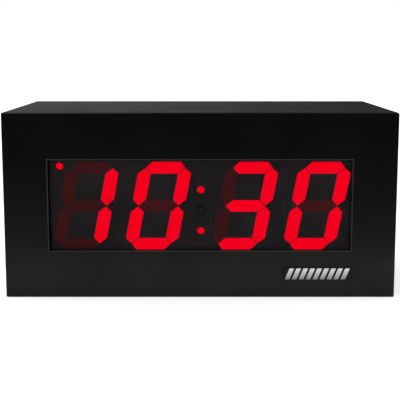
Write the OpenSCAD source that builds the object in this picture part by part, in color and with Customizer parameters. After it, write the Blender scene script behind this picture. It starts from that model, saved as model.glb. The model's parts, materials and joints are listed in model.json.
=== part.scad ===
// Four-digit LED round timer in a folded steel case, for a wall or a shelf.
// Millimetres. +X is to the viewer's right, the display faces -Y, +Z is up.
// The origin is at the middle of the whole object's footprint, on the surface it stands on.

/* [Case] */
// Width of the steel case
case_w = 278; // [266:1:340]
// Height of the steel case
case_h = 133; // [128:1:180]
// Depth of the steel case, front face to rear rim
case_d = 100; // [80:1:150]
// Thickness of the folded steel sheet
sheet_t = 1.2; // [1:0.1:1.6]
// Outside radius of the folded edges
bend_r = 1.1; // [0.5:0.1:1.2]
// How far the window's centre lies above the middle of the case
window_raise = 0.4; // [-2:0.1:4]

/* [Display] */
// Height of the lit digits
digit_h = 63.5; // [50:0.5:76.5]
// Width of a digit before it is slanted
digit_w = 37.5; // [32:0.1:40]
// Lean of the digits to the right, in degrees
digit_slant = 10.85; // [0:0.05:12]
// How far the digits' centre lies below the window's centre
digits_drop = 0.8; // [0:0.1:1.5]
// Housing wall beside a digit's widest points
housing_wall = 0.75; // [0.3:0.05:1.5]
// Gap between neighbouring housings
housing_gap = 0.1; // [0.1:0.1:1]
// Extra distance between the two pairs, for the colon
colon_gap = 10.4; // [9:0.1:14]
// Thickness of the horizontal segments
bar_t = 8.4; // [6:0.1:9]
// Thickness of the vertical segments
post_t = 9.1; // [6:0.1:9.5]
// Dark line between neighbouring segments
segment_gap = 0.5; // [0.3:0.05:1]
// Figures on the display, left to right, none of them an 8
shown = [1, 0, 3, 0]; // [0:1:9]
// Depth of a digit's housing
housing_d = 12; // [10.5:0.5:15]
// Depth of the cast segments in their housing
segment_d = 9; // [4:0.5:10]
// Radius of the colon and indicator lamps
lamp_r = 2.65; // [2:0.05:3]

/* [Window] */
// Gap between the digits and the window's edge, above and below
window_margin = 1.85; // [1.6:0.05:5]
// Gap between the outer housings and the window's left and right edges
window_side = 0.35; // [0.2:0.05:4]
// Visible width of the trim round the window
trim_face = 0.8; // [0.6:0.1:1.4]
// How far the trim stands out of the case's front
trim_proud = 0.3; // [0:0.1:0.6]
// Thickness of the smoked lens
lens_t = 1.5; // [1:0.1:3]
// How far the lens reaches past the window on every side
lens_lap = 8; // [5:0.5:9]
// Thickness of the foam tape behind the front sheet
gasket_t = 0.3; // [0.2:0.1:1]

/* [Badge] */
// Length of the blank badge
badge_w = 48.8; // [30:0.1:60]
// Height of the badge
badge_h = 8.8; // [6:0.1:12]
// How far the badge stands out of the case's front
badge_proud = 0.9; // [0.5:0.1:1.5]
// Height of the badge's centre above the base
badge_z = 17.6; // [10:0.1:24]

/* [Rear] */
// How far the rear cover is set in from the rear rim
cover_recess = 4; // [3.5:0.1:6]
// Gap between the cover's edge and the case
cover_clear = 0.3; // [0.1:0.05:0.6]
// Distance between the two keyholes
keyhole_spacing = 160; // [140:1:170]
// Radius of a keyhole's entry
keyhole_r = 4.75; // [4:0.05:6]
// Radius of a keyhole's narrow end
keyslot_r = 2.3; // [1.8:0.05:2.6]
// Distance from a keyhole's entry to its narrow end
keyslot_rise = 9; // [7:0.5:10]
// Radius of the opening through the cable grommet
cable_r = 8; // [5:0.5:9]
// Width of a vent slot
vent_w = 3; // [2:0.1:3.5]
// Radius of a sound hole
sound_r = 1.4; // [1:0.1:1.6]

/* [Controls] */
// Radius of a push button
button_r = 3.5; // [2.5:0.1:4.5]
// How far a button stands out of the rear cover
button_proud = 2.2; // [1.5:0.1:3]
// How far a button can be pressed
button_travel = 1.2; // [0.5:0.1:1.4]
// Radial gap round a button
button_clear = 0.2; // [0.1:0.05:0.4]
// Distance between buttons
button_pitch = 16; // [12:1:17]

/* [Battery] */
// Radius of the coin cell
coin_r = 10; // [8:0.5:12]
// Thickness of the coin cell
coin_t = 3.2; // [1.6:0.1:4]
// Gap between the battery tray and its sleeve, on every side
tray_clear = 0.2; // [0.1:0.05:0.4]

/* [Boards and fasteners] */
// Thickness of the circuit boards
pcb_t = 1.6; // [1:0.1:2]
// Length of the standoffs between the rear cover and the main board
standoff_len = 9; // [8:0.5:12]
// Radius of the machine screws and studs
screw_r = 1.5; // [1.25:0.05:1.8]
// Radius of a pan head
head_r = 2.8; // [2.4:0.1:3.4]
// Height of a pan head
head_h = 2; // [1.5:0.1:2.4]
// Across flats of the nuts and standoffs
hex_af = 5.5; // [5:0.1:6.5]
// Height of a nut
nut_h = 2.4; // [1.8:0.1:3]
// Radial clearance of a screw in a plain hole
hole_clear = 0.2; // [0.1:0.05:0.4]

/* [Hidden] */
$fn = 48;

eps = 0.05; // running gap between pieces that only touch
cut = 1; // how far a cutting solid runs past a face

// Planes along Y, from the front to the rear
front_y = (badge_proud - case_d) / 2;
rear_y = front_y + case_d;
front_in_y = front_y + sheet_t;
lens_y = front_in_y + gasket_t;
digit_gap = 0.1;
digit_y = lens_y + lens_t + digit_gap;
display_y = digit_y + housing_d;
display_back_y = display_y + pcb_t;
cover_out_y = rear_y - cover_recess;
cover_in_y = cover_out_y - sheet_t;
main_back_y = cover_in_y - standoff_len;
main_y = main_back_y - pcb_t;

// Digits and the window round them
housing_w = digit_w + digit_h * tan(digit_slant) + 2 * housing_wall;
housing_lap = 3.25; // housing above and below the digit
housing_h = digit_h + 2 * housing_lap;
digit_pitch = housing_w + housing_gap;
digits_x = 1.2; // how far the row of digits lies right of the case's centre
digit_xs = [for (i = [0:3])
    digits_x + (i - 1.5) * digit_pitch + (i < 2 ? -1 : 1) * colon_gap / 2];
window_z = case_h / 2 + window_raise;
digits_z = window_z - digits_drop;
window_w = 4 * housing_w + 3 * housing_gap + colon_gap + 2 * window_side;
window_h = digit_h + 2 * window_margin;
trim_clear = 0.05;
lens_w = window_w + 2 * lens_lap;
lens_h = window_h + 2 * lens_lap;

// Segment outline: centre lines of the bars and posts, and the offsets of a mitre
post_u = (digit_w - post_t) / 2;
bar_v = (digit_h - bar_t) / 2;
inner_u = post_u - post_t / 2;
inner_v = bar_v - bar_t / 2;
mitre = atan(bar_t / post_t);
mitre_u = segment_gap / 2 / sin(mitre);
mitre_v = segment_gap / 2 / cos(mitre);
segment_letters = ["a", "b", "c", "d", "e", "f", "g"];
lit_letters = ["abcdef", "bc", "abdeg", "abcdg", "bcfg", "acdfg", "acdefg", "abc", "abcdefg", "abcdfg"];

// Badge: a shallow tray with leaning bars in it, under the window's right end
badge_x = window_w / 2 - badge_w / 2;
badge_floor_t = badge_proud * 0.55;
badge_corner_r = 0.8;
badge_rim = 0.3;
badge_margin = 0.1; // between the rim and the bars
badge_bar_count = 9;
badge_bar_fill = 0.66; // share of the pitch that a bar takes
badge_bar_lean = 3.3;

// Lamps and receiver, measured from the digits' centre
colon_x = digits_x - 0.6;
colon_rises = [11.5, -18.3];
colon_w = colon_gap - housing_gap;
indicator_edge = 4.35; // from the first housing's edge to the indicator lamp
indicator_x = digit_xs[0] - housing_w / 2 + lamp_r + indicator_edge;
indicator_rise = digit_h / 2 - lamp_r - 0.6;
lamp_len = 8;
lamp_flange_t = 1;
lamp_flange_r = lamp_r + 0.5;
lamp_dome_r = lamp_r * 1.1;
lamp_dome_steps = 6;
receiver_w = 5.6;
receiver_d = 4;
receiver_h = 6.4;
receiver_eye_r = 2.2;
receiver_eye_t = 0.8;
receiver_rise = (colon_rises[0] + colon_rises[1]) / 2;

// Display board and its fixings
hole_r = screw_r + hole_clear;
thread_r = screw_r + eps;
thread_end = 1; // how far a screw or stud runs past its nut
spacer_wall = 1.8;
spacer_r = screw_r + spacer_wall;
spacer_gap = 1; // between a spacer and the lens
board_edge = 6; // from a fixing to the board's edge
stud_x = lens_w / 2 + spacer_r + spacer_gap;
stud_rise = lens_h / 2 + spacer_r + spacer_gap;
display_w = 2 * (stud_x + board_edge);
display_h = 2 * (stud_rise + board_edge);
pin_r = 0.35;
pin_pitch = 5.08;
pin_tail = 1.6;
pin_xs = [for (i = [-2:2]) i * pin_pitch];
pin_edge = 2.5; // from a pin to the housing's edge
pin_rise = housing_h / 2 - pin_edge;
driver_size = [10.4, 2.5, 7.6];
driver_drop = 6; // below the digits' centre

// Main board and its parts, placed from the board's centre
main_w = 140;
main_h = 70;
main_x = -20;
main_z = case_h / 2 - 5.5;
main_edge = 5; // from a fixing to the board's edge
screw_reach = 4; // how far a screw runs into a standoff
chip_size = [14, 1.5, 14];
chip_at = [-30, 2];
crystal_r = 2.2;
crystal_half = 3.2; // from the crystal's middle to the centre of its round end
crystal_d = 3.5;
crystal_at = [-30, -14];
can_r = 5;
can_len = 13;
can_at = [[30, -19], [43, -19]];
regulator_size = [10, 15, 4.4];
regulator_at = [8, -15];
sink_size = [22, 18, 2];
fin_count = 5;
fin_t = 2;
fin_h = 8;
terminal_size = [8, 10, 15.2];
terminal_at = [62, 8];
terminal_half_pitch = 3.8;
terminal_mouth = [3, 3.6, 4.2];
terminal_screw_r = 1.9;
terminal_screw_sink = 0.6; // how deep a screw's top lies in its well
terminal_screw_h = 2.4;
slot_t = 0.6;

// Ribbon cable and the headers it joins
header_size = [26, 8.5, 9];
header_x = main_x;
header_z = window_z + 18;
ribbon_w = 20;
ribbon_t = 1;
ribbon_inset = 1; // from a header's mouth to the ribbon
ribbon_rise = 4; // straight length of ribbon above a header
ribbon_bend = 8; // centre-line radius of the ribbon's two bends
ribbon_steps = 8;

// Rear cover layout
keyhole_z = case_h - 29;
vent_l = 18;
vent_count = 9;
vent_pitch = 8;
vent_zs = [case_h - 24, 23];
grommet_gap = 3; // from the main board's edge to the grommet's neck
grommet_rim_t = 2.2;
grommet_chamfer = 0.8;
grommet_wall = 3;
grommet_lap = 2; // how far a rim reaches over the cover
grommet_neck_r = cable_r + grommet_wall;
grommet_rim_r = grommet_neck_r + grommet_lap;
grommet_x = main_x + main_w / 2 + grommet_gap + grommet_neck_r;
grommet_z = case_h / 2;
bracket_w = 14;
bracket_leg = 12;
bracket_run = 14;
bracket_screw = 7; // from the case's inner wall to a cover screw
bracket_x = case_w / 2 - 29;
bracket_xs = [-bracket_x, 0, bracket_x];
clinch_wall = 1.7;
clinch_r = screw_r + clinch_wall;
clinch_h = 2.2;
cover_screw_zs = [sheet_t + bracket_screw, case_h - sheet_t - bracket_screw];

// Sounder, screwed to the cover's inside
sounder_x = case_w / 2 - 36;
sounder_z = case_h / 2;
sounder_r = 15;
sounder_h = 9;
sounder_plate_t = 1.6;
sounder_chamber_r = 12.5;
sounder_ear = 20; // from the sounder's centre to a screw
sounder_ear_r = 5;
sound_pitch = 4.4;
sound_rings = 2;

// Push buttons
button_names = ["button_mode", "button_up", "button_down", "button_start"];
button_x = main_x - 28;
button_z = main_z - 20;
button_flange_r = button_r + 1.4;
button_flange_t = 1;
button_chamfer = 0.6;
stem_r = 1.6;
stem_clear = 0.1;
stem_in = 0.8; // how far a stem reaches into its switch at rest
switch_w = 6;
switch_h = 3.6;
stem_spare = 0.7; // depth left under a fully pressed stem
switch_bore_depth = stem_in + button_travel + stem_spare;

// Battery drawer
drawer_x = 26 - case_w / 2;
drawer_z = case_h / 2;
cell_clear = 0.15; // between the coin cell and its pocket
cell_step = 1.2; // how much smaller the cell's can is at its lower face
cell_step_h = 0.6;
tray_wall = 1.6;
tray_floor = 1.2;
tray_head = 0.6; // from the coin cell up to the tray's rim
pocket_r = coin_r + cell_clear;
pocket_window_r = 4;
tray_w = 2 * (pocket_r + tray_wall);
tray_h = tray_floor + coin_t + tray_head;
pocket_y = cover_in_y - 2 - pocket_r;
tray_end_y = pocket_y - pocket_r - tray_wall;
tray_face_t = 1.5;
tray_face_lap = 2.3; // how far the tray's face covers the cover beside its slot
grip_size = [12, 1.4, 1.6];
sleeve_wall = 1.4;
sleeve_flange = 3;
sleeve_end_gap = 1; // between the tray's end and the sleeve's
battery_pin_r = 0.5;
battery_pin_len = 4;
battery_pin_half = 5;

// ---------------------------------------------------------------- helpers

// Extrudes a drawing in X and Z along +Y, from y over the length t.
module slab(y, t) {
    translate([0, y + t, 0]) rotate([90, 0, 0]) linear_extrude(t) children();
}

// A round bar along +Y.
module rod(x, y, z, r, len) {
    translate([x, y, z]) rotate([-90, 0, 0]) cylinder(r = r, h = len);
}

// A six-sided bar along +Y, across flats af, drilled to bore radius.
module hex_sleeve(x, y, z, af, len, bore) {
    difference() {
        translate([x, y, z]) rotate([-90, 0, 0]) cylinder(r = af / 2 / cos(30), h = len, $fn = 6);
        rod(x, y - cut, z, bore, len + 2 * cut);
    }
}

// A round tube along +Y.
module tube(x, y, z, r, bore, len) {
    difference() {
        rod(x, y, z, r, len);
        rod(x, y - cut, z, bore, len + 2 * cut);
    }
}

// A box given by its centre in X and Z, and by its Y range.
module block(x, y, z, w, d, h) {
    translate([x - w / 2, y, z - h / 2]) cube([w, d, h]);
}

// A rectangle with round corners, centred.
module round_rect(w, h, r) {
    square([w - 2 * r, h], center = true);
    square([w, h - 2 * r], center = true);
    for (sx = [-1, 1], sy = [-1, 1])
        translate([sx * (w / 2 - r), sy * (h / 2 - r)]) circle(r = r);
}

// A cross-slotted pan-head screw seated on the plane y; its head faces +Y for side 1, -Y for -1.
module pan_screw(x, y, z, side, len) {
    rim = head_h * 0.55;
    slot_w = head_r * 0.26;
    translate([x, y, z]) rotate([-90 * side, 0, 0]) difference() {
        union() {
            cylinder(r = head_r, h = rim);
            translate([0, 0, rim]) cylinder(r1 = head_r, r2 = head_r * 0.72, h = head_h - rim);
            translate([0, 0, -len]) cylinder(r = screw_r, h = len);
        }
        for (turn = [0, 90]) rotate(turn)
            translate([-head_r * 0.55, -slot_w / 2, head_h * 0.45]) cube([head_r * 1.1, slot_w, head_h]);
    }
}

// ---------------------------------------------------------------- case

// Profile with round corners only at the front, which is the low second coordinate.
module front_rounded(w, d) {
    translate([-w / 2, bend_r]) square([w, d - bend_r]);
    translate([-w / 2 + bend_r, 0]) square([w - 2 * bend_r, 2 * bend_r]);
    for (s = [-1, 1]) translate([s * (w / 2 - bend_r), bend_r]) circle(r = bend_r);
}

module case_outside() {
    intersection() {
        translate([0, 0, case_h / 2]) slab(front_y, case_d) round_rect(case_w, case_h, bend_r);
        translate([0, front_y, -cut]) linear_extrude(case_h + 2 * cut)
            front_rounded(case_w, case_d + cut);
        translate([-case_w / 2 - cut, front_y, case_h / 2])
            rotate([0, 90, 0]) linear_extrude(case_w + 2 * cut)
                front_rounded(case_h, case_d + cut);
    }
}

module front_case() {
    color([0.05, 0.05, 0.05]) difference() {
        case_outside();
        translate([-case_w / 2 + sheet_t, front_in_y, sheet_t])
            cube([case_w - 2 * sheet_t, case_d, case_h - 2 * sheet_t]);
        block(0, front_y - cut, window_z, window_w, sheet_t + 2 * cut, window_h);
    }
}

// Angle brackets inside the top and bottom walls; the rear cover is screwed to them.
module cover_brackets() {
    color([0.6, 0.6, 0.58]) for (x = bracket_xs, top = [0, 1])
        translate([x, 0, top * case_h]) mirror([0, 0, top]) difference() {
            union() {
                translate([-bracket_w / 2, cover_in_y - bracket_run, sheet_t])
                    cube([bracket_w, bracket_run, sheet_t]);
                translate([-bracket_w / 2, cover_in_y - sheet_t, sheet_t])
                    cube([bracket_w, sheet_t, bracket_leg]);
            }
            rod(0, cover_in_y - sheet_t - cut, sheet_t + bracket_screw, hole_r, sheet_t + 2 * cut);
        }
}

module clinch_nuts() {
    color([0.7, 0.7, 0.68]) for (x = bracket_xs, z = cover_screw_zs)
        tube(x, cover_in_y - sheet_t - clinch_h, z, clinch_r, thread_r, clinch_h);
}

module board_studs() {
    color([0.72, 0.55, 0.4]) for (sx = [-1, 1], sz = [-1, 1])
        rod(sx * stud_x, front_in_y, window_z + sz * stud_rise, screw_r,
            display_back_y + nut_h + thread_end - front_in_y);
}

// ---------------------------------------------------------------- window

module window_trim() {
    color([0.2, 0.2, 0.21]) translate([0, 0, window_z])
        slab(front_y - trim_proud, lens_y - front_y + trim_proud) difference() {
            square([window_w - 2 * trim_clear, window_h - 2 * trim_clear], center = true);
            square([window_w - 2 * trim_face, window_h - 2 * trim_face], center = true);
        }
}

module lens() {
    color([0.1, 0.08, 0.08, 0.5]) block(0, lens_y, window_z, lens_w, lens_t, lens_h);
}

module lens_gasket() {
    color([0.02, 0.02, 0.02]) translate([0, 0, window_z]) slab(front_in_y, gasket_t) difference() {
        square([lens_w, lens_h], center = true);
        square([window_w + 2 * trim_clear, window_h + 2 * trim_clear], center = true);
    }
}

// ---------------------------------------------------------------- badge

module badge_plate() {
    field_d = badge_proud - badge_floor_t;
    color([0.1, 0.1, 0.1]) translate([badge_x, 0, badge_z]) difference() {
        slab(front_y - badge_proud, badge_proud) round_rect(badge_w, badge_h, badge_corner_r);
        slab(front_y - badge_proud - cut, field_d + cut)
            square([badge_w - 2 * badge_rim, badge_h - 2 * badge_rim], center = true);
    }
}

// Leaning bars in the badge's field, all alike.
module badge_bars() {
    field_w = badge_w - 2 * (badge_rim + badge_margin);
    bar_h = badge_h - 2 * (badge_rim + badge_margin);
    pitch = (field_w - badge_bar_lean) / badge_bar_count;
    bar_w = pitch * badge_bar_fill;
    bar = [[0, 0], [bar_w, 0], [bar_w + badge_bar_lean, bar_h], [badge_bar_lean, bar_h]];
    color([0.75, 0.75, 0.75]) translate([badge_x, 0, badge_z])
        for (i = [0:badge_bar_count - 1])
            slab(front_y - badge_proud, badge_proud - badge_floor_t)
                translate([-field_w / 2 + i * pitch + (pitch - bar_w) / 2, -bar_h / 2]) polygon(bar);
}

// ---------------------------------------------------------------- digits

function bar_top() = [
    [-post_u + mitre_u, bar_v], [-inner_u + mitre_u, inner_v], [inner_u - mitre_u, inner_v],
    [post_u - mitre_u, bar_v], [post_u - bar_t / 2, bar_v + bar_t / 2],
    [-post_u + bar_t / 2, bar_v + bar_t / 2]];
function bar_middle() = [
    [-post_u + mitre_u, 0], [-inner_u + mitre_u, -bar_t / 2], [inner_u - mitre_u, -bar_t / 2],
    [post_u - mitre_u, 0], [inner_u - mitre_u, bar_t / 2], [-inner_u + mitre_u, bar_t / 2]];
function post_right() = [
    [post_u, mitre_v], [post_u + post_t / 2, bar_t / 2 + mitre_v], [post_u + post_t / 2, inner_v],
    [post_u, bar_v - mitre_v], [inner_u, inner_v - mitre_v], [inner_u, bar_t / 2 + mitre_v]];

// Mirrors an outline in one or both directions and keeps its points anticlockwise.
function turned(points, su, sv) = let (n = len(points))
    [for (i = [0:n - 1]) let (p = points[su * sv > 0 ? i : n - 1 - i]) [su * p[0], sv * p[1]]];

function segment_outline(letter) =
    letter == "a" ? bar_top() :
    letter == "d" ? turned(bar_top(), 1, -1) :
    letter == "g" ? bar_middle() :
    letter == "b" ? post_right() :
    letter == "c" ? turned(post_right(), 1, -1) :
    letter == "e" ? turned(post_right(), -1, -1) :
    turned(post_right(), -1, 1);

function leaning(points) = [for (p = points) [p[0] + p[1] * tan(digit_slant), p[1]]];

function is_lit(place, letter) = len(search(letter, lit_letters[shown[place]])) > 0;

// One segment of the digit at a place, from the housing's face over the depth d.
module segment(place, letter, y, d) {
    translate([digit_xs[place], 0, digits_z]) slab(y, d) polygon(leaning(segment_outline(letter)));
}

module digit_housing(place) {
    color([0.1, 0.1, 0.1]) difference() {
        block(digit_xs[place], digit_y, digits_z, housing_w, housing_d, housing_h);
        for (letter = segment_letters) segment(place, letter, digit_y - cut, segment_d + cut);
        if (place == 0) lamp_bore(indicator_x, digits_z + indicator_rise);
    }
}

module lit_segments(place) {
    color([1, 0.02, 0.08]) for (letter = segment_letters)
        if (is_lit(place, letter)) segment(place, letter, digit_y, segment_d);
}

module dark_segments(place) {
    color([0.25, 0.06, 0.06]) for (letter = segment_letters)
        if (!is_lit(place, letter)) segment(place, letter, digit_y, segment_d);
}

module digit_pins() {
    color([0.8, 0.8, 0.75]) for (x = digit_xs, dx = pin_xs, s = [-1, 1])
        rod(x + dx, display_y, digits_z + s * pin_rise, pin_r, pcb_t + pin_tail);
}

// ---------------------------------------------------------------- lamps and receiver

// The stepped hole that a lamp sits in, open at both ends.
module lamp_bore(x, z) {
    rod(x, digit_y - cut, z, lamp_r + eps, housing_d + 2 * cut);
    rod(x, digit_y + lamp_len - lamp_flange_t - eps, z, lamp_flange_r + eps, housing_d);
}

// A round lamp: a dome just behind the housing's face, a barrel and a flange.
module lamp(x, z) {
    dome_turn = asin(lamp_r / lamp_dome_r);
    dome = [for (i = [0:lamp_dome_steps]) let (a = dome_turn * i / lamp_dome_steps)
        [lamp_dome_r * sin(a), lamp_dome_r * (1 - cos(a))]];
    flange = [[lamp_r, lamp_len - lamp_flange_t], [lamp_flange_r, lamp_len - lamp_flange_t],
        [lamp_flange_r, lamp_len], [0, lamp_len]];
    translate([x, digit_y, z]) rotate([-90, 0, 0]) rotate_extrude() polygon(concat(dome, flange));
}

module colon_holder() {
    holder_x = (digit_xs[1] + digit_xs[2]) / 2;
    color([0.1, 0.1, 0.1]) difference() {
        block(holder_x, digit_y, digits_z, colon_w, housing_d, housing_h);
        for (rise = colon_rises) lamp_bore(colon_x, digits_z + rise);
        block(colon_x, digit_y - cut, digits_z + receiver_rise, receiver_w + 2 * eps,
            receiver_d + cut, receiver_h + 2 * eps);
    }
}

module colon_lamps() {
    color([1, 0.02, 0.08]) for (rise = colon_rises) lamp(colon_x, digits_z + rise);
}

module indicator_lamp() {
    color([1, 0.02, 0.08]) lamp(indicator_x, digits_z + indicator_rise);
}

module infrared_receiver() {
    base_y = digit_y + receiver_eye_t + 2 * eps;
    color([0.05, 0.05, 0.07]) {
        block(colon_x, base_y, digits_z + receiver_rise, receiver_w,
            digit_y + receiver_d - base_y, receiver_h);
        rod(colon_x, base_y - receiver_eye_t, digits_z + receiver_rise, receiver_eye_r, receiver_eye_t);
    }
}

// ---------------------------------------------------------------- display board

module display_board() {
    color([0.04, 0.12, 0.07]) difference() {
        block(0, display_y, window_z, display_w, pcb_t, display_h);
        for (sx = [-1, 1], sz = [-1, 1])
            rod(sx * stud_x, display_y - cut, window_z + sz * stud_rise, hole_r, pcb_t + 2 * cut);
        for (x = digit_xs, dx = pin_xs, s = [-1, 1])
            rod(x + dx, display_y - cut, digits_z + s * pin_rise, pin_r + eps, pcb_t + 2 * cut);
    }
}

module board_spacers() {
    color([0.85, 0.85, 0.82]) for (sx = [-1, 1], sz = [-1, 1])
        tube(sx * stud_x, front_in_y, window_z + sz * stud_rise, spacer_r, hole_r, display_y - front_in_y);
}

module display_nuts() {
    color([0.75, 0.75, 0.72]) for (sx = [-1, 1], sz = [-1, 1])
        hex_sleeve(sx * stud_x, display_back_y, window_z + sz * stud_rise, hex_af, nut_h, thread_r);
}

module segment_drivers() {
    color([0.08, 0.08, 0.08]) for (x = digit_xs)
        block(x, display_back_y, digits_z - driver_drop, driver_size.x, driver_size.y, driver_size.z);
}

module display_header() {
    color([0.1, 0.1, 0.1])
        block(header_x, display_back_y, header_z, header_size.x, header_size.y, header_size.z);
}

module main_header() {
    color([0.1, 0.1, 0.1])
        block(header_x, main_y - header_size.y, header_z, header_size.x, header_size.y, header_size.z);
}

// One side of the ribbon, off its centre line: up from a header, over, and down to the other.
function ribbon_side(off, near_y, far_y, base_z) = let (top_z = base_z + ribbon_rise) concat(
    [[near_y - off, base_z]],
    [for (i = [0:ribbon_steps]) let (a = 180 - 90 * i / ribbon_steps)
        [near_y + ribbon_bend + (ribbon_bend + off) * cos(a), top_z + (ribbon_bend + off) * sin(a)]],
    [for (i = [0:ribbon_steps]) let (a = 90 - 90 * i / ribbon_steps)
        [far_y - ribbon_bend + (ribbon_bend + off) * cos(a), top_z + (ribbon_bend + off) * sin(a)]],
    [[far_y + off, base_z]]);

module ribbon_cable() {
    near_y = display_back_y + header_size.y - ribbon_inset - ribbon_t / 2;
    far_y = main_y - header_size.y + ribbon_inset + ribbon_t / 2;
    base_z = header_z + header_size.z / 2;
    inside = ribbon_side(-ribbon_t / 2, near_y, far_y, base_z);
    outside = ribbon_side(ribbon_t / 2, near_y, far_y, base_z);
    outline = concat(inside, [for (i = [len(outside) - 1:-1:0]) outside[i]]);
    color([0.6, 0.6, 0.62]) translate([header_x - ribbon_w / 2, 0, 0])
        rotate([90, 0, 90]) linear_extrude(ribbon_w) polygon(outline);
}

// ---------------------------------------------------------------- rear cover

module keyhole_cut(x) {
    rod(x, cover_in_y - cut, keyhole_z, keyhole_r, sheet_t + 2 * cut);
    rod(x, cover_in_y - cut, keyhole_z + keyslot_rise, keyslot_r, sheet_t + 2 * cut);
    translate([x - keyslot_r, cover_in_y - cut, keyhole_z])
        cube([2 * keyslot_r, sheet_t + 2 * cut, keyslot_rise]);
}

module vent_cut(x, z) {
    run = vent_l - vent_w;
    block(x, cover_in_y - cut, z, vent_w, sheet_t + 2 * cut, run);
    for (s = [-1, 1]) rod(x, cover_in_y - cut, z + s * run / 2, vent_w / 2, sheet_t + 2 * cut);
}

// Centres of the sound holes: a six-sided pattern of rings round a middle hole.
sound_places = [for (i = [-sound_rings:sound_rings], j = [-sound_rings:sound_rings])
    if (abs(i + j) <= sound_rings) [(i + j / 2) * sound_pitch, j * sound_pitch * sin(60)]];

module cover_hole(x, z, r) {
    rod(x, cover_in_y - cut, z, r, sheet_t + 2 * cut);
}

module rear_cover() {
    color([0.06, 0.06, 0.06]) difference() {
        block(0, cover_in_y, case_h / 2, case_w - 2 * (sheet_t + cover_clear), sheet_t,
            case_h - 2 * (sheet_t + cover_clear));
        for (s = [-1, 1]) keyhole_cut(s * keyhole_spacing / 2);
        for (i = [0:vent_count - 1], z = vent_zs)
            vent_cut((i - (vent_count - 1) / 2) * vent_pitch, z);
        for (x = bracket_xs, z = cover_screw_zs) cover_hole(x, z, hole_r);
        at_main_corners() cover_hole(0, 0, hole_r);
        for (p = sound_places) cover_hole(sounder_x + p[0], sounder_z + p[1], sound_r);
        for (s = [-1, 1]) cover_hole(sounder_x, sounder_z + s * sounder_ear, hole_r);
        for (i = [0:3]) cover_hole(button_place(i), button_z, button_r + button_clear);
        cover_hole(grommet_x, grommet_z, grommet_neck_r);
        block(drawer_x, cover_in_y - cut, drawer_z, tray_w + 2 * tray_clear, sheet_t + 2 * cut,
            tray_h + 2 * tray_clear);
    }
}

module cover_screws() {
    color([0.75, 0.75, 0.73]) for (x = bracket_xs, z = cover_screw_zs)
        pan_screw(x, cover_out_y, z, 1, 2 * sheet_t + clinch_h + thread_end);
}

module cable_grommet() {
    half = (sheet_t + 2 * grommet_rim_t) / 2;
    color([0.03, 0.03, 0.03]) translate([grommet_x, cover_in_y + sheet_t / 2, grommet_z])
        rotate([-90, 0, 0]) rotate_extrude() polygon([
            [cable_r, -half], [grommet_rim_r - grommet_chamfer, -half],
            [grommet_rim_r, -half + grommet_chamfer], [grommet_rim_r, -sheet_t / 2],
            [grommet_neck_r, -sheet_t / 2], [grommet_neck_r, sheet_t / 2],
            [grommet_rim_r, sheet_t / 2], [grommet_rim_r, half - grommet_chamfer],
            [grommet_rim_r - grommet_chamfer, half], [cable_r, half]]);
}

// ---------------------------------------------------------------- main board

module at_main_corners() {
    for (sx = [-1, 1], sz = [-1, 1])
        translate([main_x + sx * (main_w / 2 - main_edge), 0, main_z + sz * (main_h / 2 - main_edge)])
            children();
}

// A box of size [w, d, h] on the main board's front, its centre at = [x, z] from the board's.
module on_main(at, size) {
    block(main_x + at[0], main_y - size.y, main_z + at[1], size.x, size.y, size.z);
}

module standoffs() {
    color([0.8, 0.65, 0.3]) at_main_corners()
        hex_sleeve(0, main_back_y, 0, hex_af, standoff_len, thread_r);
}

module standoff_screws() {
    color([0.75, 0.75, 0.73]) at_main_corners()
        pan_screw(0, cover_out_y, 0, 1, sheet_t + screw_reach);
}

module main_board() {
    color([0.05, 0.2, 0.1]) difference() {
        block(main_x, main_y, main_z, main_w, pcb_t, main_h);
        at_main_corners() rod(0, main_y - cut, 0, hole_r, pcb_t + 2 * cut);
    }
}

module main_board_screws() {
    color([0.75, 0.75, 0.73]) at_main_corners()
        pan_screw(0, main_y, 0, -1, pcb_t + screw_reach);
}

module controller_chip() {
    color([0.07, 0.07, 0.07]) on_main(chip_at, chip_size);
}

module clock_crystal() {
    color([0.78, 0.78, 0.76]) {
        on_main(crystal_at, [2 * crystal_half, crystal_d, 2 * crystal_r]);
        for (s = [-1, 1])
            rod(main_x + crystal_at[0] + s * crystal_half, main_y - crystal_d,
                main_z + crystal_at[1], crystal_r, crystal_d);
    }
}

module capacitors() {
    color([0.1, 0.1, 0.25]) for (at = can_at)
        rod(main_x + at[0], main_y - can_len, main_z + at[1], can_r, can_len);
}

module voltage_regulator() {
    color([0.1, 0.1, 0.1]) on_main(regulator_at, regulator_size);
}

// The heat sink's plate lies under the regulator, and its fins point down.
module heat_sink() {
    plate_z = regulator_at[1] - regulator_size.z / 2 - sink_size.z / 2;
    fin_z = plate_z - sink_size.z / 2 - fin_h / 2;
    fin_step = (sink_size.x - fin_t) / (fin_count - 1);
    color([0.6, 0.6, 0.62]) {
        on_main([regulator_at[0], plate_z], sink_size);
        for (i = [0:fin_count - 1])
            on_main([regulator_at[0] + (i - (fin_count - 1) / 2) * fin_step, fin_z],
                [fin_t, sink_size.y, fin_h]);
    }
}

module at_terminals() {
    middle_z = main_z + terminal_at[1];
    for (s = [-1, 1])
        translate([main_x + terminal_at[0], main_y - terminal_size.y, middle_z + s * terminal_half_pitch])
            children();
}

module terminal_block() {
    color([0.1, 0.35, 0.2]) difference() {
        on_main(terminal_at, terminal_size);
        at_terminals() {
            rod(0, -cut, 0, terminal_screw_r + 2 * eps, cut + terminal_screw_sink + terminal_screw_h);
            translate([terminal_size.x / 2 - terminal_mouth.x, terminal_size.y / 2, -terminal_mouth.z / 2])
                cube([terminal_mouth.x + cut, terminal_mouth.y, terminal_mouth.z]);
        }
    }
}

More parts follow.
